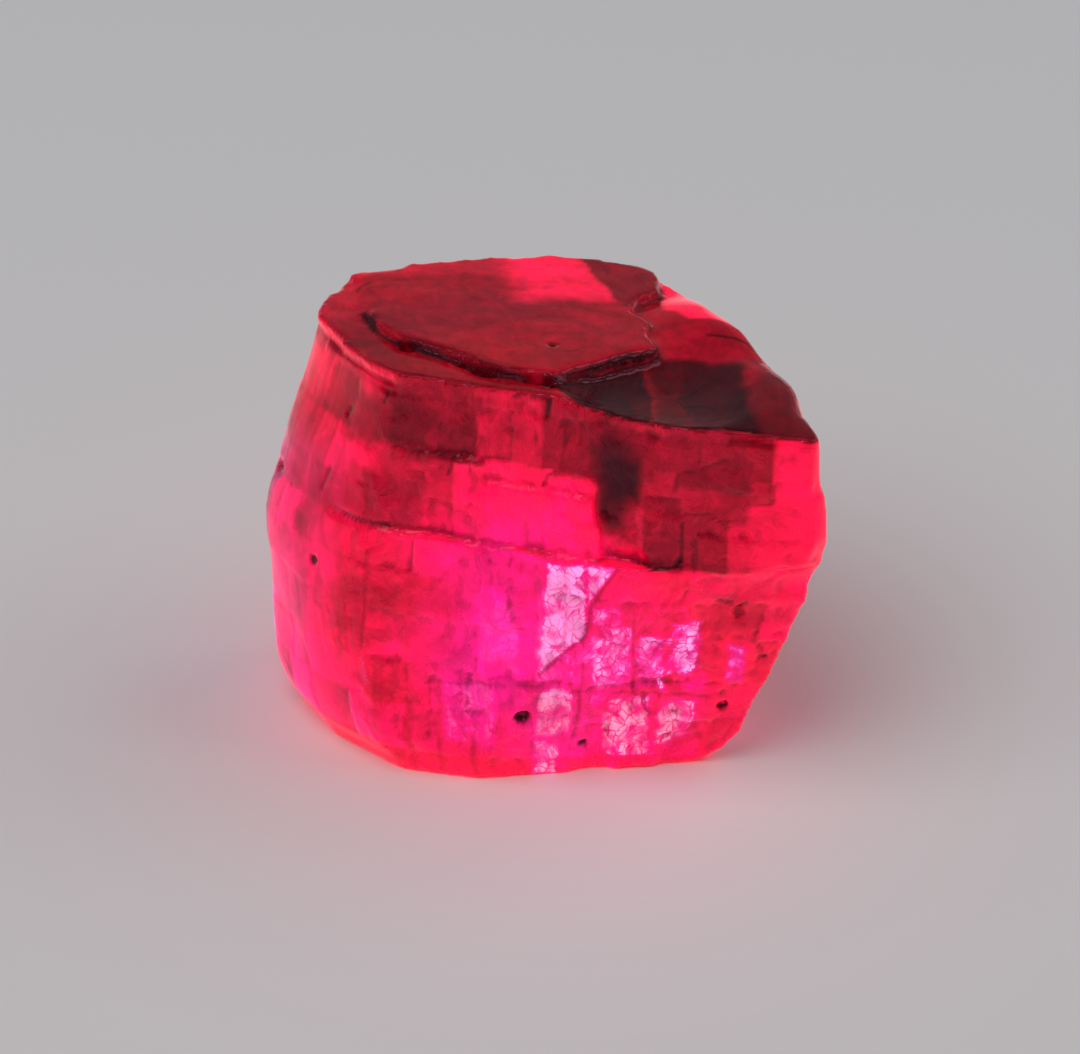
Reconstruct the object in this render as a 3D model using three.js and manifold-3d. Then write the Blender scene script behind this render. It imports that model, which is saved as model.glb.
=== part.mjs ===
// A raw ruby crystal: a short, barrel-shaped corundum prism that stands on its broken base.
// Its faces, growth layers, parting blocks, top plate, flake scar, pits and chips are one solid.
// Millimetres, +Z up. The origin is under the middle of the crystal, on the surface that it rests on.
import * as THREE from "three";
import { ConvexGeometry } from "three/addons/geometries/ConvexGeometry.js";
import { mergeVertices } from "three/addons/utils/BufferGeometryUtils.js";
import Module from "manifold-3d";

const wasm = await Module();
wasm.setup();
const { degToRad } = THREE.MathUtils;

// Driving dimensions

// The crystal grew in layers. The top face and the terraces between the layers are parallel and lean
// to the right and to the back, in degrees. Their heights are taken on the upright axis.
const CREST = 11.8;
const TERRACES = [2.8, 7, 9.55];
const TERRACE_LEAN = { right: 4.5, back: 8 };
const LAP = 0.05; // how far each layer reaches into the one below it

// The upright faces, from the front one round to the left. Each has its reach from the upright axis at
// its girdle, and how far it steps back in each layer, from the foot to the crest. Its leans are inward,
// in degrees: above the girdle, below it and at the foot. A minus lets the upper face run on downward.
const FACES = [
  { name: "front", azimuth: 258, girdle: 5.5, reach: 4.83, leans: [2.5, -2.5, 12], steps: [0, 0, 0.3, 0.5] },
  { name: "front_left", azimuth: 228, girdle: 5.5, reach: 6.35, leans: [5, 2, 22], steps: [0, 0, 0.3, 0.5] },
  { name: "left_front", azimuth: 208, girdle: 6, reach: 7.05, leans: [8, 1, 26], steps: [0, 0, 0.3, 0.5] },
  { name: "left", azimuth: 170, girdle: 6, reach: 7.95, leans: [12, 4, 32], steps: [0, 0, 0.1, 0.2] },
  { name: "left_back", azimuth: 140, girdle: 5, reach: 7.5, leans: [6, 7, 32], steps: [0, 0.1, 0.2, 0.4] },
  { name: "back_left", azimuth: 112, girdle: 5.5, reach: 6.1, leans: [3, 8, 35], steps: [0, 0.1, 0.35, 0.4] },
  { name: "back", azimuth: 85, girdle: 5.5, reach: 6.25, leans: [2.5, 8, 35], steps: [0.1, 0, 0.05, 0.35] },
  { name: "back_right", azimuth: 50, girdle: 5.5, reach: 6.35, leans: [2.5, 8, 35], steps: [0.1, 0, 0.2, 0.35] },
  { name: "right_back", azimuth: 26, girdle: 6, reach: 6.1, leans: [2.5, 10, 32], steps: [0, 0, 0.25, 0.3] },
  { name: "right", azimuth: 8, girdle: 7.25, reach: 7.1, leans: [3, 18, 34], steps: [0.25, 0.2, 0.1, 0.2] },
  { name: "right_front", azimuth: 320, girdle: 7.25, reach: 9.1, leans: [2, 16, 52], steps: [0.3, 0.2, 0.1, 0.15] },
  { name: "front_right", azimuth: 269, girdle: 5.5, reach: 5.68, leans: [2.5, -2.5, 12], steps: [0, 0, 0.5, 0.5] },
];
const FOOT = 1.2; // height where the faces turn in to the worn foot

// A steep break takes away the lower right of the front face, in the two lowest layers.
const BREAK = { name: "break", azimuth: 277, girdle: 0, reach: 4.2, leans: [-11, 11, 11], layers: 2 };

// At the right of the top face a smooth shoulder falls away to the front.
const SHOULDER = { azimuth: 340, lean: 82, through: [5.6, -3] };

// The smooth plate that is left standing on the top face, seen from above, with a crevice along its front.
const PLATE_RISE = 0.3;
const PLATE_FRONT = [
  [-5.1, 0.9],
  [-4.75, -0.2],
  [-4.05, -1.2],
  [-3.3, -1.65],
  [-2.5, -2.15],
  [-1.75, -2.7],
  [-1.15, -3],
  [-0.5, -3.05],
  [0.2, -3.2],
];
const PLATE_RIGHT = [
  [1.8, -1.8],
  [3.15, -0.7],
  [2.75, 0.3],
  [2.9, 1.1],
  [2.35, 1.9],
  [2.5, 2.7],
  [3.2, 3.5],
];
const PLATE_BACK = [
  [3, 7],
  [-7, 7],
  [-5.4, 2.6],
];
const CREVICE = { width: 0.22, depth: 0.3 };

// The shell-like scar where a flake broke out of the right of the top face.
const SCAR = { middle: [3.3, -3.2], length: 3.1, width: 3.3, depth: 0.5, turn: 15 };

// Parting blocks that are sunk in the front face and in the break. left and right are their seams,
// measured along the face, bottom and top are terrace heights, and depth is behind the lowest face.
const FRONT_BLOCKS = [
  { left: -0.96, right: 2.4, bottom: 8.85, top: 9.65, depth: 0.5 },
  { left: 2.4, right: 3.84, bottom: 7, top: 9.65, depth: 0.52 },
  { left: 3.84, right: 10, bottom: 8.6, top: 9.65, depth: 0.5 },
  { left: 3.84, right: 4.96, bottom: 7, top: 8.6, depth: 0.38 },
  { left: 4.96, right: 7.57, bottom: 7, top: 8.6, depth: 0.6 },
  { left: 1.2, right: 2.21, bottom: 9.2, top: 13, depth: 0.57 },
  { left: 2.21, right: 3.84, bottom: 8.2, top: 13, depth: 0.64 },
  { left: 4.96, right: 6.4, bottom: 10.2, top: 13, depth: 0.6 },
  { left: -0.96, right: 0.2, bottom: 10.8, top: 13, depth: 0.56 },
  { left: -2.44, right: -0.96, bottom: 7, top: 9.3, depth: 0.37 },
  { left: 0.2, right: 1.2, bottom: 7, top: 8.4, depth: 0.36 },
  { left: -2.44, right: -0.3, bottom: -1, top: 2.8, depth: 0.12 },
  { left: -3.05, right: -2.75, bottom: 1, top: 3.2, depth: 0.08 },
  { left: -1.6, right: -0.6, bottom: 4.9, top: 7, depth: 0.07 },
  { left: 1.2, right: 2.3, bottom: 5.6, top: 7, depth: 0.09 },
];
const BREAK_BLOCKS = [
  { left: 0.55, right: 2, bottom: 2.6, top: 4.4, depth: 0.1 },
  { left: 2, right: 3.45, bottom: 1.6, top: 3.1, depth: 0.13 },
  { left: 3.45, right: 4.3, bottom: 2.4, top: 6, depth: 0.08 },
  { left: 0.2, right: 1.3, bottom: -1, top: 1.3, depth: 0.14 },
  { left: 2.6, right: 3.9, bottom: -1, top: 1, depth: 0.1 },
  { left: 5.6, right: 7, bottom: 4.6, top: 7.2, depth: 0.12 },
];
const OVERCUT = 0.01; // how far a sunk block reaches past its seams, into a sunk neighbour

// The other faces carry blocks of the same kind, in columns of uneven width that sink by uneven depths.
const COLUMNS = { reach: 4.5, width: [0.7, 2.1], sunk: 0.6, depth: [0.04, 0.2] };

// Growth pits: where they sit along a face and in terrace height, how wide and how deep they are.
const PITS = [
  { face: "break", along: -1.26, height: 1.6, across: 0.42, depth: 0.5 },
  { face: "break", along: 4.4, height: 2, across: 0.3, depth: 0.35 },
  { face: "break", along: 4.7, height: 5.45, across: 0.6, depth: 0.2 },
  { face: "break", along: 5.5, height: 3.85, across: 0.32, depth: 0.2 },
  { face: "front_left", along: -3.1, height: 5.3, across: 0.24, depth: 0.35 },
  { face: "front", along: -1.2, height: 6.45, across: 0.22, depth: 0.25 },
  { face: "back_left", along: 1.5, height: 6.2, across: 0.4, depth: 0.3 },
  { face: "right_back", along: -0.8, height: 4.5, across: 0.45, depth: 0.3 },
];
const PIT_SIDES = 7;

// Chips off the crystal's edges: the middle and the half size of each piece that is gone.
const CHIPS = [
  { middle: [3.3, 4.9, 11.7], size: [0.5, 0.35, 0.35] },
  { middle: [4.7, 3.2, 11.6], size: [0.4, 0.6, 0.3] },
  { middle: [5.9, 1, 11.7], size: [0.35, 0.7, 0.3] },
  { middle: [2.2, -5, 12.45], size: [0.55, 0.5, 0.4] },
  { middle: [-6.1, 2.9, 11.9], size: [0.35, 0.6, 0.4] },
  { middle: [-2.5, 5.3, 11.8], size: [0.7, 0.3, 0.25] },
  { middle: [7.5, -5.2, 2.9], size: [0.8, 0.6, 0.8] },
  { middle: [-4.4, -4.4, 0.1], size: [0.8, 0.6, 0.4] },
];

// Planes and solids

// A face plane that passes the upright axis at reach, at the given height, and leans inward above it.
function facePlane(azimuth, lean, reach, height) {
  const a = degToRad(azimuth);
  const l = degToRad(lean);
  const outward = new THREE.Vector3(Math.cos(a), Math.sin(a), 0);
  const normal = outward.clone().multiplyScalar(Math.cos(l)).setZ(Math.sin(l));
  const point = outward.multiplyScalar(reach).setZ(height);
  return new THREE.Plane().setFromNormalAndCoplanarPoint(normal, point);
}

// The way the layers grew: square to the terraces.
const growth = new THREE.Vector3(
  Math.tan(degToRad(TERRACE_LEAN.right)),
  Math.tan(degToRad(TERRACE_LEAN.back)),
  1,
).normalize();

function terraceBelow(height) {
  return new THREE.Plane().setFromNormalAndCoplanarPoint(growth, new THREE.Vector3(0, 0, height));
}

function terraceAbove(height) {
  return terraceBelow(height).negate();
}

// The point of a terrace that lies over a spot seen from above.
function onTerrace(height, [x, y]) {
  const upward = new THREE.Ray(new THREE.Vector3(x, y, 0), new THREE.Vector3(0, 0, 1));
  return upward.intersectPlane(terraceBelow(height), new THREE.Vector3());
}

// The point where three planes meet.
function meeting(a, b, c) {
  const bc = new THREE.Vector3().crossVectors(b.normal, c.normal);
  const ca = new THREE.Vector3().crossVectors(c.normal, a.normal);
  const ab = new THREE.Vector3().crossVectors(a.normal, b.normal);
  const det = a.normal.dot(bc);
  if (Math.abs(det) < 1e-6) return null;
  const sum = new THREE.Vector3()
    .addScaledVector(bc, -a.constant)
    .addScaledVector(ca, -b.constant)
    .addScaledVector(ab, -c.constant);
  return sum.divideScalar(det);
}

// The convex solid that lies behind every one of the planes.
function convexSolid(planes) {
  const corners = [];
  for (let i = 0; i < planes.length; i++) {
    for (let j = i + 1; j < planes.length; j++) {
      for (let k = j + 1; k < planes.length; k++) {
        const corner = meeting(planes[i], planes[j], planes[k]);
        if (corner && planes.every((plane) => plane.distanceToPoint(corner) < 1e-6)) corners.push(corner);
      }
    }
  }
  return solid(new ConvexGeometry(corners));
}

function solid(geometry) {
  const bare = geometry.clone();
  bare.deleteAttribute("normal");
  bare.deleteAttribute("uv");
  const merged = mergeVertices(bare, 1e-4);
  const vertProperties = new Float32Array(merged.attributes.position.array);
  const triVerts = new Uint32Array(merged.index.array);
  return new wasm.Manifold(new wasm.Mesh({ numProp: 3, vertProperties, triVerts }));
}

// Growth layers

// The crystal's faces as they stand in one layer.
function layerFaces(layer) {
  const planes = [];
  for (const { azimuth, girdle, reach, leans, steps } of FACES) {
    const [upper, lower, foot] = leans;
    const stepped = reach - steps[layer];
    const atFoot = stepped - (girdle - FOOT) * Math.tan(degToRad(lower));
    planes.push(facePlane(azimuth, upper, stepped, girdle));
    planes.push(facePlane(azimuth, -lower, stepped, girdle));
    planes.push(facePlane(azimuth, -foot, atFoot, FOOT));
  }
  if (layer < BREAK.layers) planes.push(facePlane(BREAK.azimuth, BREAK.leans[0], BREAK.reach, BREAK.girdle));
  return planes;
}

const shoulder = facePlane(SHOULDER.azimuth, SHOULDER.lean, 0, 0);
shoulder.setFromNormalAndCoplanarPoint(shoulder.normal, onTerrace(CREST, SHOULDER.through));
const base = new THREE.Plane(new THREE.Vector3(0, 0, -1), 0);
const levels = [...TERRACES, CREST];
const layers = levels.map((level, layer) => {
  const floor = layer === 0 ? base : terraceAbove(levels[layer - 1] - LAP);
  return convexSolid([...layerFaces(layer), terraceBelow(level), shoulder, floor]);
});
let body = layers.reduce((lower, upper) => lower.add(upper));

// Top plate, crevice and flake scar

// An upright solid over an outline that is seen from above.
function upright(outline) {
  const shape = new THREE.Shape(outline.map(([x, y]) => new THREE.Vector2(x, y)));
  return solid(new THREE.ExtrudeGeometry(shape, { depth: 2 * CREST, bevelEnabled: false }));
}

const crestFaces = layerFaces(levels.length - 1);
const plateColumn = upright([...PLATE_FRONT, ...PLATE_RIGHT, ...PLATE_BACK]);
const plateSlab = convexSolid([...crestFaces, terraceBelow(CREST + PLATE_RISE), terraceAbove(CREST - LAP)]);
const creviceFront = PLATE_FRONT.map(([x, y], i) => [x, y - CREVICE.width * (0.4 + 0.6 * (i % 3))]);
const creviceColumn = upright([...creviceFront, ...PLATE_FRONT.toReversed()]);
const creviceSlab = convexSolid([...crestFaces, terraceBelow(CREST + LAP), terraceAbove(CREST - CREVICE.depth)]);
body = body.subtract(creviceColumn.intersect(creviceSlab)).add(plateColumn.intersect(plateSlab));

const scarRadius = (SCAR.width ** 2 + SCAR.depth ** 2) / (2 * SCAR.depth);
const scarCentre = onTerrace(CREST, SCAR.middle).addScaledVector(growth, scarRadius - SCAR.depth);
const scarBall = new THREE.SphereGeometry(scarRadius, 64, 48);
scarBall.scale(SCAR.length / SCAR.width, 1, 1);
scarBall.rotateZ(degToRad(SCAR.turn));
scarBall.applyQuaternion(new THREE.Quaternion().setFromUnitVectors(new THREE.Vector3(0, 0, 1), growth));
scarBall.translate(...scarCentre);
body = body.subtract(solid(scarBall).subtract(plateColumn));

// Parting blocks

const faceByName = new Map([...FACES, BREAK].map((face) => [face.name, face]));

function leanAt(face, height) {
  const [upper, lower] = face.leans;
  return height > face.girdle ? upper : -lower;
}

// An upright plane square to a face, at a distance along it.
function seam(face, along) {
  const a = degToRad(face.azimuth + 90);
  return new THREE.Plane(new THREE.Vector3(Math.cos(a), Math.sin(a), 0), -along);
}

function block(face, { left, right, bottom, top, depth }) {
  const lean = leanAt(face, (bottom + top) / 2);
  return convexSolid([
    seam(face, right + OVERCUT),
    seam(face, left - OVERCUT).negate(),
    terraceBelow(top + OVERCUT),
    terraceAbove(bottom - OVERCUT),
    facePlane(face.azimuth, lean, face.reach + 2, face.girdle),
    facePlane(face.azimuth, lean, face.reach - depth, face.girdle).negate(),
  ]);
}

for (const each of FRONT_BLOCKS) body = body.subtract(block(faceByName.get("front"), each));
for (const each of BREAK_BLOCKS) body = body.subtract(block(BREAK, each));

let seed = 11;

// A repeatable number between two limits.
function between(low, high) {
  seed = (seed * 16807) % 2147483647;
  return low + ((high - low) * seed) / 2147483647;
}

// Some columns are sunk in the upper part of a layer and some in its lower part.
for (const face of FACES) {
  if (face.name === "front" || face.name === "front_right") continue;
  levels.forEach((level, layer) => {
    const floor = layer === 0 ? 0 : levels[layer - 1];
    for (let left = -COLUMNS.reach; left < COLUMNS.reach; ) {
      const right = left + between(...COLUMNS.width);
      const depth = face.steps[layer] + between(...COLUMNS.depth);
      const split = floor + (level - floor) * between(0.2, 0.8);
      const sunk = between(0, 1);
      const upper = { left, right, bottom: split, top: level === CREST ? 2 * CREST : level, depth };
      const lower = { left, right, bottom: layer === 0 ? -CREST : floor, top: split, depth };
      if (sunk < COLUMNS.sunk) body = body.subtract(block(face, sunk < COLUMNS.sunk / 2 ? upper : lower));
      left = right;
    }
  });
}

// Pits and chips

for (const { face: name, along, height, across, depth } of PITS) {
  const face = faceByName.get(name);
  const surface = facePlane(face.azimuth, leanAt(face, height), face.reach, face.girdle);
  const mouth = meeting(surface, seam(face, along), terraceBelow(height));
  const drill = new THREE.CylinderGeometry(across / 2, across / 3, 2 * depth, PIT_SIDES);
  drill.applyQuaternion(new THREE.Quaternion().setFromUnitVectors(new THREE.Vector3(0, 1, 0), surface.normal));
  drill.translate(...mouth);
  body = body.subtract(solid(drill));
}

for (const { middle, size } of CHIPS) {
  const piece = new THREE.IcosahedronGeometry(1, 0);
  piece.scale(...size);
  piece.translate(...middle);
  body = body.subtract(solid(piece));
}

// The finished crystal, with its middle over the origin

const { vertProperties, triVerts } = body.getMesh();
const geometry = new THREE.BufferGeometry();
geometry.setAttribute("position", new THREE.BufferAttribute(vertProperties, 3));
geometry.setIndex(new THREE.BufferAttribute(triVerts, 1));
geometry.computeBoundingBox();
const middle = geometry.boundingBox.getCenter(new THREE.Vector3());
geometry.translate(-middle.x, -middle.y, 0);

const ruby = new THREE.MeshStandardMaterial({ color: 0xc4103f, roughness: 0.4 });
const crystal = new THREE.Mesh(geometry, ruby);
crystal.name = "ruby_crystal";

const group = new THREE.Group();
group.add(crystal);
export default group;
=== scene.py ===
import math

import bmesh
import bpy
import numpy as np
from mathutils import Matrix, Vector, noise


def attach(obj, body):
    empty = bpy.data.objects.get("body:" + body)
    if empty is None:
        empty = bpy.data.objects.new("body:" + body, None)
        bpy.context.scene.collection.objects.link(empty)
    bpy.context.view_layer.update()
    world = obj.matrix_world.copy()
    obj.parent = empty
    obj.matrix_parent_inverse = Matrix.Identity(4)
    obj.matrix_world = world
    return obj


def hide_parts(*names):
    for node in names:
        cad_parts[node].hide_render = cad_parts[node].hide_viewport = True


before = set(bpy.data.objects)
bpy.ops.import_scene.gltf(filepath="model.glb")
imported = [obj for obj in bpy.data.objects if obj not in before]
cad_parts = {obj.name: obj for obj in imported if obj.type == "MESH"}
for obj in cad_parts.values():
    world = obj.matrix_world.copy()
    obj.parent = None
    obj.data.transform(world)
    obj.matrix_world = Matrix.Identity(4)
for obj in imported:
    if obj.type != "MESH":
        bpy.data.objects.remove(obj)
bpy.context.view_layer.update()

# Ruby crystal
# One natural piece of corundum, which grew in layers, broke off along its base and front, and stands free.
# Its fine surface is worked out over its solid: ledges, parting blocks, a smooth top plate and a flake scar.
MM = 0.001
WELD = 1e-7  # m, corners of the solid that are closer than this are one
VOXEL = 0.1  # mm between the points of the fine surface


def fine_copy(solid, name):
    """An evenly meshed copy of a CAD solid, in millimetres."""
    work = bmesh.new()
    work.from_mesh(solid.data)
    bmesh.ops.remove_doubles(work, verts=work.verts, dist=WELD)
    bmesh.ops.scale(work, vec=(1 / MM,) * 3, verts=work.verts)
    coarse = bpy.data.meshes.new(name)
    work.to_mesh(coarse)
    work.free()
    blank = bpy.data.objects.new(name, coarse)
    bpy.context.scene.collection.objects.link(blank)
    remesh = blank.modifiers.new("even", "REMESH")
    remesh.mode = "VOXEL"
    remesh.voxel_size = VOXEL
    shaped = blank.evaluated_get(bpy.context.evaluated_depsgraph_get())
    fine = bpy.data.meshes.new_from_object(shaped)
    bpy.data.objects.remove(blank)
    bpy.data.meshes.remove(coarse)
    return fine


def read(items, field, width, kind=np.float64):
    """One row of numbers for each of a mesh's points or edges."""
    values = np.empty(len(items) * width, kind)
    items.foreach_get(field, values)
    return values.reshape(-1, width)


def between(values, low, high):
    """0 below low, 1 above high, and a soft rise from one to the other."""
    t = np.clip((values - low) / (high - low), 0, 1)
    return t * t * (3 - 2 * t)


FRACTAL = (1.0, 2.0)  # how fast finer lumps fade, and how much finer each set is


def lumps(points, size, octaves, shift=0):
    """Fractal noise at each point, with lumps of about that size in mm. Another shift gives other lumps."""
    rows = (points + shift).tolist()
    return np.array([noise.fractal(Vector(p) / size, *FRACTAL, octaves) for p in rows])


CRESTS = (1.0, 2.0)  # where the sharp crests lie, and how sharp they are


def ridges(points, size, octaves):
    """Noise with sharp crests, from 0 to about 1."""
    rows = points.tolist()
    crests = [noise.ridged_multi_fractal(Vector(p) / size, *FRACTAL, octaves, *CRESTS) for p in rows]
    return np.array(crests) / 2


FAR = 99.0  # mm, more than any distance on the crystal


def patch(u, v, corners, soft):
    """1 inside a convex outline, whose corners run clockwise, and 0 outside it."""
    inset = np.full(len(u), FAR)
    for (u0, v0), (u1, v1) in zip(corners, corners[1:] + corners[:1]):
        du = u1 - u0
        dv = v1 - v0
        inset = np.minimum(inset, ((u - u0) * dv - (v - v0) * du) / math.hypot(du, dv))
    return between(inset, -soft, soft)


def line(u, v, stops, width):
    """1 on a crooked line and 0 away from it."""
    away = np.full(len(u), FAR)
    for (u0, v0), (u1, v1) in zip(stops[:-1], stops[1:]):
        du = u1 - u0
        dv = v1 - v0
        along = np.clip(((u - u0) * du + (v - v0) * dv) / (du * du + dv * dv), 0, 1)
        away = np.minimum(away, np.hypot(u - u0 - along * du, v - v0 - along * dv))
    return 1 - between(away, width * 0.4, width * 1.3)


def facing(normals, azimuth):
    """1 where a face looks straight that way, and 0 or less where it doesn't."""
    return normals[:, 0] * math.cos(azimuth) + normals[:, 1] * math.sin(azimuth)


stone = fine_copy(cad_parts["ruby_crystal"], "ruby_crystal_fine")
points = read(stone.vertices, "co", 3)
edges = read(stone.edges, "vertices", 2, np.int32)
degree = np.bincount(edges.ravel(), minlength=len(points))[:, None]


def relaxed(values, rounds):
    """The values after so many rounds of moving halfway to the mean of their neighbours."""
    for _ in range(rounds):
        total = np.zeros_like(values)
        np.add.at(total, edges[:, 0], values[edges[:, 1]])
        np.add.at(total, edges[:, 1], values[edges[:, 0]])
        values = (values + total / degree) / 2
    return values


def softened(shape, share, rounds):
    """The shape relaxed for so many rounds, where a point's share is 1, and as it was where it is 0."""
    share = share[:, None]
    return shape * (1 - share) + relaxed(shape, rounds) * share


def outward(shape):
    """The direction in which each point of the shape faces."""
    stone.vertices.foreach_set("co", shape.ravel())
    stone.update()
    return read(stone.vertex_normals, "vector", 3)


AXIS = np.array((0.163, -0.429, 0.0))  # mm, where the upright axis stands
GROWTH = np.array((math.tan(math.radians(4.5)), math.tan(math.radians(8.0)), 1.0))  # square to the terraces
TERRACES = (0.0, 2.8, 7.0, 9.55, 13.0)  # mm, heights of the growth layers on the axis
MIDDLE_LEDGE = TERRACES[2]
FRONT_AZIMUTH = math.radians(272)
LEFT_AZIMUTH = math.radians(212)
BACK_AZIMUTH = math.radians(99)

# Edges are worn a little, and more in some places than in others.
LEAST_WORN = 1  # rounds of relaxing
MOST_WORN = 4
wear = between(lumps(points, 1.6, 2), -0.3, 0.5)[:, None]
points = relaxed(points, LEAST_WORN) * (1 - wear) + relaxed(points, MOST_WORN) * wear

# The ledges fade out on the left, at the right end of the middle ledge, and on the shoulder behind the scar.
ROUNDING = 220  # rounds of relaxing
facing_left = facing(outward(relaxed(points, 40)), LEFT_AZIMUTH)
left_flank = between(facing_left, 0.55, 0.85)
x, y, z = points.T
right_shoulder = between(x, 3.5, 5.0) * between(y, -5.4, -3.4) * between(z, 8.5, 10.0)
from_ledge = np.abs((points - AXIS) @ GROWTH - MIDDLE_LEDGE)
right_ledge = between(x, 5.0, 6.2) * (1 - between(from_ledge, 0.5, 1.1))
rounded = np.maximum(left_flank, np.maximum(0.8 * right_shoulder, 0.5 * right_ledge))
rounded *= between(z, 0.1, 0.8)
points = softened(points, rounded, ROUNDING)

# The left side bulges below the top, and the shoulder behind the scar rises a little.
LEFT_BULGE = 0.16  # mm
SHOULDER = {"middle": (5.0, 1.9), "near": 0.6, "far": 2.6, "rise": 0.45}
bulge = LEFT_BULGE * rounded * left_flank * (1 - between(points[:, 2], 8.5, 10.5))
points += outward(relaxed(points, 3)) * bulge[:, None]
from_shoulder = np.hypot(*((points - AXIS)[:, :2] - SHOULDER["middle"]).T)
rise = SHOULDER["rise"] * (1 - between(from_shoulder, SHOULDER["near"], SHOULDER["far"]))
points[:, 2] += rise * between(points[:, 2], 8.5, 10.8)

# The top plate's right wall is a worn break, and its left end runs out into the rim.
BROKEN_WALL = ((0.2, -3.2), (1.8, -1.8), (3.15, -0.7), (3.3, 0.5), (3.1, 1.6))
PLATE_END = ((-5.2, 0.9), (-5.1, 2.4), (-4.6, 4.0))
for course, width, rounds in ((BROKEN_WALL, 0.5, 12), (PLATE_END, 0.6, 50)):
    worn = line(*(points - AXIS)[:, :2].T, course, width) * between(points[:, 2], 10.5, 11.0)
    points = softened(points, worn, rounds)
normals = outward(relaxed(points, 3))

place = points - AXIS
height = place @ GROWTH
facing_front = facing(normals, FRONT_AZIMUTH)
front = between(facing_front, 0.6, 0.9)
top = between(normals[:, 2], 0.7, 0.93)
side = 1 - top
clear_of_base = between(points[:, 2], 0.1, 0.7)

# Parting blocks: rows between the terraces, each cut into blocks of uneven width.
ROUND_REACH = 6.5  # mm from the axis, where the blocks' widths are measured
ROW_HEIGHT = 1.5  # mm
ROW_UNEVEN = 0.25  # of a row's height
ROW_BLOCKS = 60  # more than go round
ROW_OVERLAP = 1.0  # mm, where a row starts before its first point
BLOCK_WIDTH = (0.6, 2.6)  # mm
BLOCK_STEP = 0.05  # mm
ABOVE_TOP = 20.0  # mm
SEAM_WIDTH = (0.02, 0.09)  # mm
draw = np.random.default_rng(7)
warp = lumps(place, 1.1, 3)
turn = (np.arctan2(place[:, 1], place[:, 0]) - BACK_AZIMUTH) % (2 * math.pi) - math.pi
arc = turn * ROUND_REACH + 0.12 * warp
level = height + 0.1 * lumps(place, 1.3, 3, 20)
row_edges = []
for low, high in zip(TERRACES[:-1], TERRACES[1:]):
    count = round((high - low) / ROW_HEIGHT)
    for row in range(count):
        shift = draw.uniform(-ROW_UNEVEN, ROW_UNEVEN) if row else 0
        row_edges.append(low + (high - low) * (row + shift) / count)
row_edges.append(ABOVE_TOP)
step = np.zeros(len(place))
slope = np.zeros(len(place))
tone = np.zeros(len(place))
seam = np.zeros(len(place))
for bottom, lid in zip(row_edges[:-1], row_edges[1:]):
    inside = (level >= bottom) & (level < lid)
    widths = draw.uniform(*BLOCK_WIDTH, ROW_BLOCKS)
    cuts = np.concatenate(([0], np.cumsum(widths))) - math.pi * ROUND_REACH - ROW_OVERLAP
    steps = draw.uniform(-1, 1, len(cuts))
    tones = draw.uniform(0, 1, len(cuts))
    slopes = draw.uniform(-1, 1, len(cuts))
    column = np.searchsorted(cuts, arc[inside])
    step[inside] = steps[column]
    slope[inside] = slopes[column] * ((arc[inside] - cuts[column - 1]) / widths[column - 1] - 0.5)
    tone[inside] = tones[column]
    from_sides = np.minimum(np.abs(arc[inside] - cuts[column - 1]), np.abs(cuts[column] - arc[inside]))
    from_ends = np.minimum(level[inside] - bottom, lid - level[inside])
    seam[inside] = 1 - between(np.minimum(from_sides, from_ends), *SEAM_WIDTH)
seam *= between(lumps(place, 1.4, 2, 70), -0.15, 0.3)

# The front broke through the blocks and is hackly, the other faces are only a little wavy.
HACKLE_HEIGHT = 0.11  # mm
WAVE_HEIGHT = 0.03  # mm
SEAM_DEPTH = 0.02  # mm
hackle = ridges(place * (1, 1, 0.8), 0.8, 4) - 0.55
waves = lumps(place, 2.4, 3)
rough = front * side
lift = BLOCK_STEP * step * side * (0.35 + 0.65 * rough)
lift += HACKLE_HEIGHT * hackle * rough
lift += WAVE_HEIGHT * waves * (1 - rough)
lift -= SEAM_DEPTH * seam * side * (0.3 + 0.7 * rough)

# The flake scar has shell-like ripples round the point where the flake was struck off.
SCAR = {
    "middle": (3.3, -3.2),
    "reach": 3.2,
    "edge": 0.9,
    "struck": (1.0, -1.6),
    "ripple": 0.42,
    "depth": 0.02,
}
from_middle = np.hypot(*(place[:, :2] - SCAR["middle"]).T)
from_strike = np.hypot(*(place[:, :2] - SCAR["struck"]).T)
scar = top * (1 - between(from_middle, SCAR["reach"] - SCAR["edge"], SCAR["reach"]))
scar *= between(height, 10.5, 11.0) * (1 - between(height, 11.7, 11.95))
lift += SCAR["depth"] * scar * waves * np.sin(2 * math.pi * (from_strike + 0.4 * waves) / SCAR["ripple"])

points = points + normals * (lift * clear_of_base)[:, None]
points[:, 2] = np.maximum(points[:, 2], 0)
points = relaxed(points, 1)

# How far each point lies in a hollow, wide or narrow. It is less than 0 on an edge.
WIDE = 60  # rounds of relaxing, which reach across a wide hollow
NARROW = 8
normals = outward(points)
hollow = np.einsum("ij,ij->i", normals, relaxed(points, WIDE) - points)
fine_hollow = np.einsum("ij,ij->i", normals, relaxed(points, NARROW) - points)

# What lies in the crystal near its surface is drawn on the front as it is seen: millimetres to the right
# of the axis, and growth height.
across = place[:, 0] + 0.05 * warp
up = height + 0.05 * lumps(place, 1.0, 3, -30)
on_front = between(facing_front, 0.1, 0.3) * side

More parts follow.
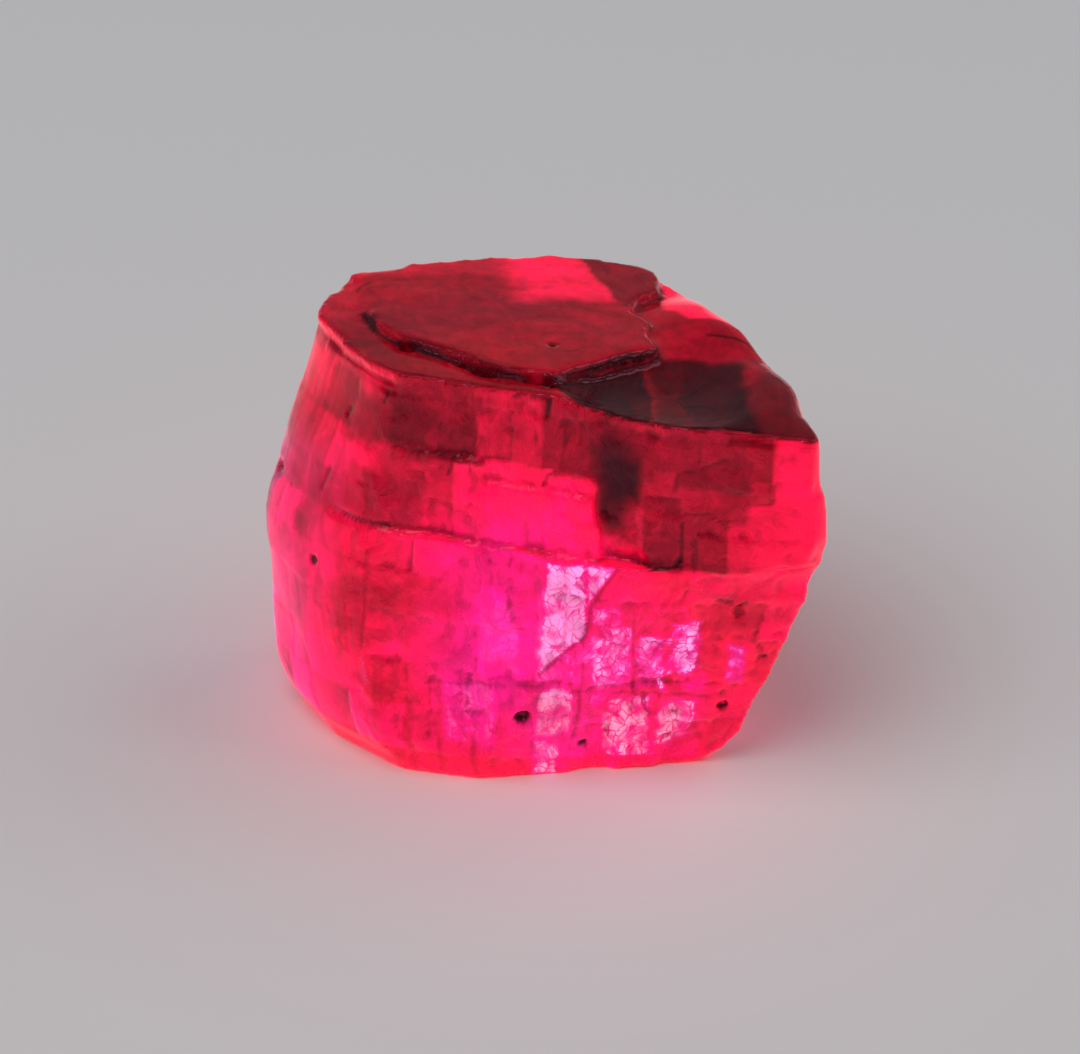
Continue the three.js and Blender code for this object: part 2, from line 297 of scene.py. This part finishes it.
# How much light leaves the crystal, as painted light: the stone glows in its material, though it is no lamp.
# Each growth layer is dimmer than the one below it.
LAYER_HEIGHTS = (0.0, 6.95, 7.05, 9.5, 9.6, 11.7)
FRONT_LIGHT = (0.95, 0.95, 0.40, 0.46, 0.24, 0.30)
SIDE_LIGHT = (0.95, 0.95, 0.70, 0.9, 0.5, 0.75)
light = np.interp(height, LAYER_HEIGHTS, FRONT_LIGHT) * front
light += np.interp(height, LAYER_HEIGHTS, SIDE_LIGHT) * (1 - front)


def block(left, right, low, high):
    """The outline of an upright block of the front."""
    return ((left, low), (left, high), (right, high), (right, low))


# Blocks and patches of the front that pass more light than their layer, or less: light, soft edge, outline.
SMOKE = (
    (1.55, 7.9), (1.3, 8.8), (1.2, 10.1), (1.45, 11.0),
    (2.3, 11.0), (2.5, 10.4), (2.5, 8.4), (2.2, 7.9),
)
FRONT_PATCHES = (
    (0.20, 0.40, block(-5.4, -1.95, 9.4, 10.8)),
    (0.52, 0.05, block(-1.95, -0.12, 9.55, 12.5)),
    (0.24, 0.05, block(-0.12, 0.12, 9.3, 12.5)),
    (0.28, 0.05, block(0.12, 1.4, 9.4, 12.5)),
    (0.45, 0.05, block(2.95, 3.5, 9.45, 9.95)),
    (0.50, 0.05, block(5.5, 6.1, 9.2, 9.9)),
    (0.36, 0.30, block(-5.2, -3.4, 7.0, 8.6)),
    (0.54, 0.20, block(-3.4, -2.6, 7.0, 9.2)),
    (0.90, 0.06, block(-2.6, -1.7, 7.0, 9.35)),
    (1.10, 0.06, block(-1.7, 0.12, 7.0, 9.55)),
    (1.05, 0.06, ((0.12, 7.0), (0.12, 9.3), (1.3, 9.3), (1.9, 7.0))),
    (0.60, 0.08, ((1.9, 7.0), (1.55, 8.2), (2.6, 8.6), (2.6, 7.0))),
    (0.06, 0.40, SMOKE),
    (0.0, 0.22, block(1.62, 2.5, 8.75, 10.2)),
    (0.27, 0.04, block(2.62, 3.67, 7.0, 9.1)),
    (0.34, 0.05, block(3.67, 5.0, 7.0, 9.0)),
    (0.80, 0.05, block(4.95, 5.5, 7.0, 8.6)),
    (0.95, 0.05, block(5.5, 6.15, 7.0, 9.2)),
    (1.02, 0.06, block(6.15, 9.0, 7.0, 12.0)),
    (0.58, 0.30, block(-5.7, -3.6, 3.4, 5.3)),
    (0.80, 0.20, block(5.1, 6.8, 5.0, 6.9)),
)
for value, soft, corners in FRONT_PATCHES:
    light += (value - light) * patch(across + soft * waves, up + soft * warp, corners, soft) * on_front
UNEVEN_AND_FOOT_LIGHT = {"from block to block": 0.26, "across a block": 0.25, "in lumps": 0.28, "near the foot": 0.2}
uneven = UNEVEN_AND_FOOT_LIGHT["from block to block"] * (tone - 0.5) + UNEVEN_AND_FOOT_LIGHT["across a block"] * slope
light *= 1 + uneven + UNEVEN_AND_FOOT_LIGHT["in lumps"] * lumps(place, 1.8, 3, 30)
# Painted light: the glow is brighter near the foot.
light *= 1 + UNEVEN_AND_FOOT_LIGHT["near the foot"] * (1 - between(height, -0.8, 1.0))

# The sides that don't face front are cloudy: dim clouds, uneven blocks, and a few clear ones low down.
# The left flank is the brightest of them.
off_front = (1 - on_front) * side
cloud = between(lumps(place * (1, 1, 0.7), 2.6, 2, 110), -0.35, 0.3)
clouded = 0.45 + 0.55 * cloud
blocky = 0.8 + 0.38 * tone
light *= 1 - off_front * (1 - clouded * blocky)
left_face = between(facing_left, 0.6, 0.85) * (1 - front) * side
left_uneven = 0.1 - 0.2 * (1 - cloud) + 0.25 * (tone - 0.6)
light *= 1 + left_face * left_uneven
clear_block = between(tone, 0.72, 0.8) * cloud * off_front * (1 - between(height, 6.7, 6.95))

# Upright striations, strongest low on the left
STRIPE_WIDTH = 0.3  # mm
STRIPE_LENGTH = 6.0  # mm
along_stripes = np.column_stack((arc / STRIPE_WIDTH, height / STRIPE_LENGTH, np.zeros(len(place))))
stripes = lumps(along_stripes, 1.0, 2)
low_left = patch(across, up, block(-5.6, -1.5, -2.0, 2.8), 0.6) * on_front
striated = np.maximum(low_left, 0.6 * left_face)
light *= 1 + (0.08 + 0.35 * striated) * stripes * side

# Clear windows in the lower front, where light comes straight through: clearness, outline.
WINDOWS = (
    (1.0, ((-0.2, 3.2), (0.02, 6.86), (1.05, 6.9), (1.1, 4.7))),
    (0.9, ((1.1, 5.6), (1.1, 6.9), (1.96, 6.95))),
    (0.65, ((1.2, 4.4), (1.25, 5.6), (2.1, 5.7), (1.9, 4.4))),
    (0.8, ((1.2, 2.65), (1.25, 4.3), (1.7, 4.9), (2.34, 4.9), (2.34, 2.65))),
    (0.85, ((2.45, 2.6), (2.45, 4.8), (3.3, 4.5), (3.3, 2.6))),
    (0.8, ((3.3, 3.1), (3.3, 4.4), (3.5, 5.2), (4.3, 5.2), (4.2, 3.4))),
    (1.0, ((-0.3, 0.9), (-0.25, 2.6), (0.75, 2.5), (0.6, 1.0))),
    (0.9, ((-0.45, -0.8), (-0.4, 0.7), (0.35, 0.6), (0.3, -0.8))),
    (0.75, ((1.5, 0.0), (1.55, 2.3), (2.9, 2.3), (2.9, 0.2))),
    (0.85, ((3.05, 0.5), (3.1, 2.2), (4.2, 2.2), (4.0, 0.7))),
    (0.6, ((4.95, 2.8), (5.0, 4.4), (5.5, 4.3), (5.5, 2.9))),
    (0.22, ((-1.9, 3.2), (-1.9, 5.8), (-0.9, 6.0), (-0.7, 3.2))),
    (0.45, ((-2.9, 0.4), (-2.9, 2.5), (-1.5, 2.5), (-1.4, 0.4))),
    (0.35, ((-0.4, -0.9), (-0.3, 6.2), (3.9, 5.8), (4.6, 2.5), (4.2, 0.0))),
)
PANE_EDGE = 0.1  # mm
window = 0.8 * clear_block
ragged = lumps(place, 0.45, 3, 50)
for clearness, corners in WINDOWS:
    pane = patch(across + 0.08 * ragged, up + 0.16 * warp, corners, PANE_EDGE)
    window = np.maximum(window, clearness * pane * on_front)
window *= 0.85 + 0.4 * np.clip(ragged + waves, -0.5, 0.5)

# Dark cracks, flecks and seams of the front, and painted shadow along some of the ledges: how dark, how
# wide, and their course.
CRACK_DEPTH = 0.07  # mm
CRACKS_AND_LEDGE_SHADOWS = (
    (0.5, 0.07, ((1.96, 7.0), (1.2, 5.6), (1.1, 4.6), (-0.25, 3.1))),
    (0.35, 0.07, ((-3.4, 2.3), (-0.3, 2.75), (1.3, 2.5), (4.5, 2.4))),
    (0.45, 0.07, ((1.05, 5.0), (0.95, 2.7), (0.75, 0.8))),
    (0.4, 0.06, ((3.3, 4.5), (2.6, 3.3))),
    (0.4, 0.05, ((2.38, 2.5), (2.38, 5.2))),
    (0.4, 0.06, ((-5.2, 3.1), (-5.0, 6.2))),
    (0.9, 0.06, ((2.2, 6.98), (3.7, 7.03))),
    (0.85, 0.10, ((3.55, 7.12), (3.67, 7.3))),
    (0.7, 0.05, ((3.67, 7.2), (3.7, 8.4))),
    (0.5, 0.04, ((2.7, 9.1), (3.6, 9.1))),
    (0.5, 0.05, ((3.5, 9.4), (3.5, 9.95), (4.1, 10.1), (4.9, 10.6))),
    (0.55, 0.05, ((5.45, 9.2), (6.15, 9.2), (6.25, 9.95))),
    (0.5, 0.05, ((3.75, 8.75), (4.5, 8.75), (5.0, 8.4))),
    (0.75, 0.08, ((4.75, 5.95), (5.1, 5.85))),
    (0.7, 0.06, ((5.3, 5.65), (5.5, 5.9))),
    (0.5, 0.05, ((5.75, 4.5), (6.0, 4.2), (5.9, 3.7))),
    (0.9, 0.10, ((0.0, 11.2), (0.05, 11.8))),
    (0.7, 0.06, ((-0.9, 11.6), (0.1, 11.7))),
    (0.6, 0.07, ((-1.85, 10.9), (-1.85, 11.4))),
    (0.7, 0.06, ((-4.45, 10.7), (-4.3, 11.1))),
    (0.6, 0.06, ((-5.5, 9.8), (-5.4, 10.1))),
    (0.5, 0.06, ((-6.0, 8.2), (-6.3, 7.4))),
    (0.75, 0.07, ((-5.6, 7.1), (-4.4, 7.1))),
    (0.65, 0.07, ((-2.7, 9.0), (-2.55, 9.5))),
    (0.55, 0.05, ((-3.6, 9.55), (-2.3, 9.5))),
    (0.7, 0.07, ((-0.1, 9.0), (0.05, 9.4))),
    (0.5, 0.06, ((0.9, 10.4), (0.95, 11.0))),
)
cracks_and_ledge_shade = np.ones(len(place))
for darkness, width, stops in CRACKS_AND_LEDGE_SHADOWS:
    cracks_and_ledge_shade *= 1 - darkness * line(across, up, stops, width) * on_front
points = points - normals * (CRACK_DEPTH * (1 - cracks_and_ledge_shade) * clear_of_base)[:, None]

# Colour of that light: deep red where it is dim, hot pink low down and on the left, magenta in the heart.
HEART = {"middle": (-1.1, 4.1), "across": 4.2, "up": 5.2, "hue": 0.70, "extra light": 0.12}
LEFT_HUE = 0.56
DIM_HUE = 0.04
heart_across = (across - HEART["middle"][0]) / HEART["across"]
heart_up = (up - HEART["middle"][1]) / HEART["up"]
from_heart = np.hypot(heart_across, heart_up)
heart = (1 - between(from_heart + 0.25 * waves, 0.15, 1.15)) * between(facing_front, 0.3, 0.7)
light *= 1 + HEART["extra light"] * heart
left_rim = between(-normals[:, 0], 0.5, 0.95) * (1 - between(height, 7.5, 10.0))
hue = DIM_HUE + 0.26 * np.clip(light, 0, 1) + 0.08 * (tone - 0.5)
hue = np.maximum(hue, hue + (HEART["hue"] - hue) * heart)
hue = np.maximum(hue, hue + (LEFT_HUE - hue) * left_rim)
hue += 0.10 * (1 - between(height, 0.5, 3.0)) * (tone - 0.2)
hue += 0.3 * off_front * between(lumps(place, 3.0, 2, 140), -0.1, 0.5) * (1 - between(height, 6.0, 9.5))

# The top, seen from above: a dull plate with a clear patch at its back, and a dark scar beside it.
# Its patches and cracks are listed as those of the front are.
TOP_LIGHT = 0.25
TOP_PATCHES = (
    (0.16, 0.10, ((-5.6, -1.2), (-4.6, -0.8), (0.2, -3.3), (0.2, -5.0), (-4.0, -4.0))),
    (0.40, 0.50, ((-5.5, 2.8), (-5.5, 6.5), (-1.0, 6.5), (-1.0, 4.2))),
    (0.38, 0.30, ((-7.5, -1.0), (-7.5, 4.5), (-5.2, 4.5), (-5.2, 0.6))),
    (0.92, 0.60, ((-0.75, 2.1), (-1.3, 6.5), (0.8, 6.5), (2.2, 2.6))),
    (0.17, 0.08, ((2.1, 2.2), (1.2, 5.0), (0.9, 6.5), (3.2, 6.5), (3.2, 2.9))),
    (0.92, 0.08, ((3.3, 2.4), (3.3, 6.0), (6.0, 3.0), (5.0, 1.4), (4.0, 1.25))),
    (0.55, 0.25, ((4.9, 1.4), (6.2, 3.0), (7.6, 0.5), (6.4, -0.3), (5.7, 0.4))),
    (0.12, 0.4, ((5.8, -6.0), (5.8, -1.5), (6.6, -0.5), (9.0, -0.5), (9.0, -6.0))),
    (0.035, 0.25, ((2.8, -4.8), (2.8, -0.9), (3.9, -0.6), (5.4, -0.8), (5.4, -5.2))),
    (0.02, 0.3, ((5.0, -5.4), (5.1, -2.2), (5.7, -2.4), (5.9, -5.4))),
    (0.0, 0.06, ((0.1, -3.3), (2.8, -0.85), (2.8, -5.0), (1.4, -4.6))),
)
plan = (place[:, 0] + 0.25 * waves, place[:, 1] + 0.3 * warp)
top_light = np.full(len(place), TOP_LIGHT)
for value, soft, corners in TOP_PATCHES:
    top_light += (value - top_light) * patch(*plan, corners, soft)
top_light *= 1 + 0.25 * lumps(place * (0.6, 1.6, 1.0), 1.0, 3, 90)
TOP_CRACKS = (
    (0.8, 0.08, ((4.5, 0.5), (5.0, 0.3), (5.7, 0.2))),
    (0.6, 0.06, ((2.7, -2.9), (3.6, -2.6), (4.3, -1.9))),
    (0.6, 0.05, ((3.5, -3.3), (4.6, -3.2))),
    (0.7, 0.06, ((0.55, -1.4), (0.85, -1.35))),
    (0.6, 0.08, ((2.2, 2.2), (3.2, 2.75), (3.25, 4.0))),
    (0.6, 0.06, ((-5.4, 2.2), (-5.0, 2.35))),
)
for darkness, width, stops in TOP_CRACKS:
    top_light *= 1 - darkness * line(*plan, stops, width)

on_top = between(normals[:, 2], 0.3, 0.6) * between(height, 10.6, 11.1)
on_top = np.maximum(on_top, between(height, 11.73, 11.8))
light = light * cracks_and_ledge_shade * (1 - on_top) + top_light * on_top
hue = hue * (1 - on_top) + (DIM_HUE + 0.3 * np.clip(top_light, 0, 1)) * on_top
# Painted shade: what faces up off the top plate, such as the tops of the ledges, is darker, most on the
# front.
light *= 1 - (0.1 + 0.5 * front) * top * (1 - on_top)

# The crevice in front of the plate is painted black as shade, and the plate's broken right wall gets painted
# shade.
CREVICE = (
    (-5.1, 0.6), (-4.75, -0.3), (-4.05, -1.3), (-3.3, -1.75),
    (-2.5, -2.25), (-1.75, -2.8), (-1.15, -3.1), (0.2, -3.3),
)
CREVICE_WIDTH = 0.12  # mm
CREVICE_SHADOW = 0.93
WALL_WIDTH = 0.45  # mm
WALL_SHADE = 0.85
high_up = between(height, 11.2, 11.4)
below_plate = 1 - between(height + 0.25 * warp, 11.95, 12.1)
crevice_shade = line(place[:, 0] + 0.12 * warp, place[:, 1] + 0.1 * waves, CREVICE, CREVICE_WIDTH)
light *= 1 - CREVICE_SHADOW * crevice_shade * high_up * below_plate
upright = 1 - between(normals[:, 2], 0.72, 0.9)
wall = line(*plan, BROKEN_WALL, WALL_WIDTH)
light *= 1 - WALL_SHADE * wall * high_up * upright

# Painted shade and light: hollows let less light out than edges do, and what faces up lets out less than
# what faces down.
UP_SHADE = 0.5
EDGE_LIGHT = 0.4
SEAM_SHADE = 0.07
WIDE_HOLLOW = (0.04, 0.22)  # mm
FINE_HOLLOW = (0.003, 0.025)  # mm
PROUD_EDGE = (0.06, 0.3)  # mm
turned = normals[:, 2] - relaxed(normals, 30)[:, 2]
light *= 1 - UP_SHADE * np.clip(turned, -0.5, 0.5) * side
light *= 1 - (0.25 + 0.35 * front) * between(hollow, *WIDE_HOLLOW)
light *= 1 - (0.25 + 0.2 * front) * between(fine_hollow, *FINE_HOLLOW)
light *= 1 + EDGE_LIGHT * between(-hollow, *PROUD_EDGE) * side
light *= 1 - SEAM_SHADE * seam * side

# Dark inclusions: middle and half size.
SPECKS = (
    ((-0.69, -4.77, 2.31), 0.24),
    ((4.94, -4.05, 2.18), 0.16),
    ((-6.51, -2.61, 6.15), 0.13),
    ((6.07, -4.26, 3.96), 0.10),
    ((0.17, -1.11, 12.24), 0.14),
    ((1.0, -4.2, 1.0), 0.14),
)
SPECK_SHADE = 0.97
BRIGHTEST = 1.3
speck = np.zeros(len(place))
for middle, size in SPECKS:
    from_speck = np.linalg.norm(place - middle, axis=1) / size
    speck = np.maximum(speck, 1 - between(from_speck + 0.3 * warp, 0.7, 1.2))
light *= 1 - SPECK_SHADE * speck
points = points - normals * (CRACK_DEPTH * speck)[:, None]
light = np.clip(light, 0, BRIGHTEST)

stone.vertices.foreach_set("co", (points * MM).ravel())
stone.shade_smooth()
stone.update()
marks = {"light": light, "hue": hue, "window": window, "broken": rough}
for name, values in marks.items():
    stone.attributes.new(name, "FLOAT", "POINT").data.foreach_set("value", values.astype(np.float32))

# The crystal's skin laid out flat, in millimetres: round it and up the growth on the sides, and from above
# on the top, set apart from the sides. It is a little crooked, so that the cracks on it are too.
TOP_APART = 60  # mm
CROOKEDNESS = 0.24  # mm
crook = np.column_stack((lumps(place, 0.8, 4, 5), lumps(place, 0.8, 4, -5)))
flat = np.column_stack((arc, height, np.zeros(len(place))))
lying = normals[:, 2] > 0.7
flat[lying, :2] = place[lying, :2] + TOP_APART
flat[:, :2] += CROOKEDNESS * crook
skin_place = stone.attributes.new("skin", "FLOAT_VECTOR", "POINT")
skin_place.data.foreach_set("vector", flat.astype(np.float32).ravel())

ruby = bpy.data.materials.new("ruby")
ruby.use_nodes = True
ruby.node_tree.nodes.clear()


def add(kind, inputs=(), **settings):
    """A node in the ruby material, with its settings, and its inputs set or linked."""
    made = ruby.node_tree.nodes.new(kind)
    for name, value in settings.items():
        setattr(made, name, value)
    for name, value in dict(inputs).items():
        if isinstance(value, bpy.types.NodeSocket):
            ruby.node_tree.links.new(value, made.inputs[name])
        else:
            made.inputs[name].default_value = value
    return made


def maths(operation, *values):
    """The outcome of an operation on numbers or sockets."""
    return add("ShaderNodeMath", dict(enumerate(values)), operation=operation).outputs[0]


def fade(value, low, high):
    """0 to 1 as the value goes from low to high."""
    inputs = {"Value": value, "From Min": low, "From Max": high}
    return add("ShaderNodeMapRange", inputs, interpolation_type="SMOOTHSTEP").outputs["Result"]


def mark(name):
    """One of the values that the surface carries at each point."""
    return add("ShaderNodeAttribute", attribute_name=name).outputs["Fac"]


def blend(factor, a, b, blend_type="MIX"):
    """Colour b over colour a, by the factor."""
    node = add("ShaderNodeMix", data_type="RGBA", blend_type=blend_type)
    for index, value in ((0, factor), (6, a), (7, b)):
        if isinstance(value, bpy.types.NodeSocket):
            ruby.node_tree.links.new(value, node.inputs[index])
        else:
            node.inputs[index].default_value = value
    return node.outputs[2]


def ramp(value, stops):
    """The colour at a value from 0 to 1, between stops of place and colour."""
    node = add("ShaderNodeValToRGB", {"Fac": value})
    elements = node.color_ramp.elements
    while len(elements) < len(stops):
        elements.new(1.0)
    for element, (position, colour) in zip(elements, stops):
        element.position = position
        element.color = (*colour, 1.0)
    return node.outputs["Color"]


# Painted light from within, given off by the material: deep red, hot pink, magenta, and the pale lilac of
# the clear windows.
GLOW = (
    (0.0, (1.0, 0.0, 0.012)),
    (0.3, (1.0, 0.0, 0.042)),
    (0.5, (1.0, 0.001, 0.11)),
    (0.7, (1.0, 0.003, 0.26)),
    (0.85, (1.0, 0.08, 0.48)),
    (1.0, (1.0, 0.34, 0.80)),
)
LOW_TINT = (1.0, 0.75, 0.55, 1.0)
skin = add("ShaderNodeAttribute", attribute_name="skin").outputs["Vector"]

# Grit, a random value for each small square-cornered flake, and a web of fine cracks, which shows in places
GRIT_SCALE = (2.4, 1.4, 1.0)  # per mm: finer round the crystal than up it
FLAKE_SCALE = 2.7  # per mm
WEB_SCALE = 4.0  # per mm
WEB_LINE = 0.11  # of a cell
WEB_SHOWS = (0.32, 0.55)  # where the grit is more than this
stretched = add("ShaderNodeVectorMath", {0: skin, 1: GRIT_SCALE}, operation="MULTIPLY").outputs[0]
grit_inputs = {"Vector": stretched, "Scale": 1.0, "Detail": 2.0, "Roughness": 0.6}
grit = add("ShaderNodeTexNoise", grit_inputs, noise_dimensions="2D").outputs["Fac"]
cells = add(
    "ShaderNodeTexVoronoi", {"Vector": skin, "Scale": FLAKE_SCALE},
    feature="F1", distance="CHEBYCHEV", voronoi_dimensions="2D",
)
flakes = add("ShaderNodeSeparateColor", {"Color": cells.outputs["Color"]}).outputs["Red"]
web = add(
    "ShaderNodeTexVoronoi", {"Vector": skin, "Scale": WEB_SCALE},
    feature="DISTANCE_TO_EDGE", voronoi_dimensions="2D",
)
off_crack = fade(web.outputs["Distance"], 0.0, WEB_LINE)
crack = maths("MAXIMUM", maths("SUBTRACT", fade(grit, *WEB_SHOWS), off_crack), 0.0)

# The broken front shows all of this, and the growth faces only a share.
MOTTLE = 0.18
FLAKE_CONTRAST = 0.3
in_window = mark("window")
share = maths("MULTIPLY_ADD", mark("broken"), 0.8, 0.2)
mottle_inputs = {"Value": grit, "From Min": 0.3, "From Max": 0.7, "To Min": 1 - MOTTLE, "To Max": 1 + MOTTLE}
mottle = add("ShaderNodeMapRange", mottle_inputs).outputs["Result"]
flaky = maths("MULTIPLY", maths("SUBTRACT", flakes, 0.5), FLAKE_CONTRAST)
flaky = maths("MULTIPLY_ADD", flaky, share, 1.0)
crack_shade = maths("MULTIPLY", share, maths("MULTIPLY_ADD", in_window, -0.15, 0.22))
cracked = maths("SUBTRACT", flaky, maths("MULTIPLY", crack, crack_shade))
glow_strength = maths("MULTIPLY", maths("MULTIPLY", mark("light"), mottle), cracked)

# In a window the light is palest between the cracks, and uneven from flake to flake.
WINDOW_HUE = 1.02
patchy = maths("MULTIPLY_ADD", flakes, 0.35, maths("MULTIPLY_ADD", grit, 0.9, 0.1))
uncracked = maths("MULTIPLY_ADD", crack, -0.55, 1.0)
paleness = maths("MULTIPLY", maths("MULTIPLY", in_window, patchy), uncracked)
glow_hue = mark("hue")
to_window = maths("SUBTRACT", WINDOW_HUE, glow_hue)
glow_hue = maths("MULTIPLY_ADD", to_window, fade(paleness, 0.0, 0.75), glow_hue)
glow = ramp(glow_hue, GLOW)

# The windows near the foot are pinker.
risen = add("ShaderNodeSeparateXYZ", {"Vector": skin}).outputs["Y"]
near_foot = maths("SUBTRACT", 1.0, fade(risen, 1.6, 3.2))
glow = blend(maths("MULTIPLY", fade(paleness, 0.1, 0.6), near_foot), glow, LOW_TINT, "MULTIPLY")

# It is seen only from outside.
outside = maths("SUBTRACT", 1.0, add("ShaderNodeNewGeometry").outputs["Backfacing"])
seen = maths("MULTIPLY", glow_strength, outside)
shine = add("ShaderNodeVectorMath", {0: glow, "Scale": seen}, operation="SCALE").outputs[0]

# The stone's base colour follows the painted glow: clear pink-red where it glows, and almost black, as
# painted shade, where little light leaves it
DARK = (0.012, 0.0, 0.001, 1.0)
CLEAR = (0.95, 0.06, 0.24, 1.0)
body = blend(fade(glow_strength, 0.0, 0.9), DARK, CLEAR)

# Fine relief, rougher on the broken front than on the growth faces
relief = maths("MULTIPLY", grit, share)
bump = add("ShaderNodeBump", {"Height": relief, "Strength": 0.5, "Distance": 0.12 * MM})
polish = maths("MULTIPLY_ADD", relief, 0.5, 0.06)

surface = add("ShaderNodeBsdfPrincipled", {
    "Base Color": body,
    "Roughness": polish,
    "IOR": 1.77,
    "Specular Tint": (1.0, 0.22, 0.36, 1.0),
    "Transmission Weight": 0.85,
    "Emission Color": shine,
    "Emission Strength": 0.85,
    "Normal": bump.outputs["Normal"],
})
absorption = add("ShaderNodeVolumeAbsorption", {"Color": (0.95, 0.02, 0.35, 1.0), "Density": 250.0})
finished = {"Surface": surface.outputs["BSDF"], "Volume": absorption.outputs["Volume"]}
add("ShaderNodeOutputMaterial", finished)
ruby.cycles.emission_sampling = "NONE"

stone.materials.clear()
stone.materials.append(ruby)
crystal = bpy.data.objects.new("raw_ruby", stone)
bpy.context.scene.collection.objects.link(crystal)
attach(crystal, "root")
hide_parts("ruby_crystal")

# Floor
# A plain pale sheet under the crystal, which isn't part of it.
FLOOR_HALF = 2.0  # m
FLOOR_GAP = 0.00003  # m, so that the floor and the base don't share a plane
FLOOR_CORNERS = ((-1, -1), (1, -1), (1, 1), (-1, 1))
floor_mesh = bpy.data.meshes.new("floor")
floor_corners = [(x * FLOOR_HALF, y * FLOOR_HALF, -FLOOR_GAP) for x, y in FLOOR_CORNERS]
floor_mesh.from_pydata(floor_corners, [], [(0, 1, 2, 3)])
pale = bpy.data.materials.new("pale_floor")
pale.use_nodes = True
pale_surface = pale.node_tree.nodes["Principled BSDF"].inputs
pale_surface["Base Color"].default_value = (0.85, 0.84, 0.84, 1.0)
pale_surface["Roughness"].default_value = 0.7
pale_surface["Specular IOR Level"].default_value = 0.0
floor_mesh.materials.append(pale)
floor = bpy.data.objects.new("floor", floor_mesh)
bpy.context.scene.collection.objects.link(floor)

# Studio light
# Two soft panels and a dim, even surround.


def aim(thing, target):
    """Turns a lamp or a camera to look at a place."""
    way = Vector(target) - thing.location
    thing.rotation_mode = "QUATERNION"
    thing.rotation_quaternion = way.to_track_quat("-Z", "Y")


CRYSTAL_MIDDLE = (0.0, 0.0, 0.006)  # m
PANEL_SIZE = 0.40  # m across


def panel(name, location, watts):
    """A round soft panel that faces the crystal."""
    source = bpy.data.lights.new(name, "AREA")
    source.shape = "DISK"
    source.size = PANEL_SIZE
    source.energy = watts
    lamp = bpy.data.objects.new(name, source)
    lamp.location = location
    bpy.context.scene.collection.objects.link(lamp)
    aim(lamp, CRYSTAL_MIDDLE)


panel("key_panel", (-0.16, -0.14, 0.36), 0.72)
panel("fill_panel", (0.30, 0.04, 0.30), 0.36)
surround = bpy.data.worlds.new("surround")
surround.use_nodes = True
background = surround.node_tree.nodes["Background"].inputs
background["Color"].default_value = (0.9, 0.92, 1.0, 1.0)
background["Strength"].default_value = 0.15
bpy.context.scene.world = surround
bpy.context.scene.view_settings.view_transform = "Standard"

# Light is followed through the stone for a few turns, which is enough for so deep a red.
bpy.context.scene.cycles.max_bounces = 4
bpy.context.scene.cycles.transmission_bounces = 2
bpy.context.scene.cycles.caustics_refractive = False

# Camera
# It looks down at the crystal's front, at the photograph's angle.
VIEW_TILT = math.radians(32)
VIEW_DISTANCE = 0.160  # m
VIEW_TARGET = Vector((-0.0000373, -0.000429, 0.0056))  # m
SENSOR = 36.0  # mm
IMAGE_WIDTH = 1080  # pixels
PIXELS_PER_METRE = 35200  # at that distance
view = bpy.data.cameras.new("view")
view.sensor_width = SENSOR
view.lens = PIXELS_PER_METRE * VIEW_DISTANCE * SENSOR / IMAGE_WIDTH
view.clip_start = 0.01
view.clip_end = 10.0
camera = bpy.data.objects.new("view", view)
camera.location = VIEW_TARGET + VIEW_DISTANCE * Vector((0.0, -math.cos(VIEW_TILT), math.sin(VIEW_TILT)))
bpy.context.scene.collection.objects.link(camera)
aim(camera, VIEW_TARGET)
bpy.context.scene.camera = camera
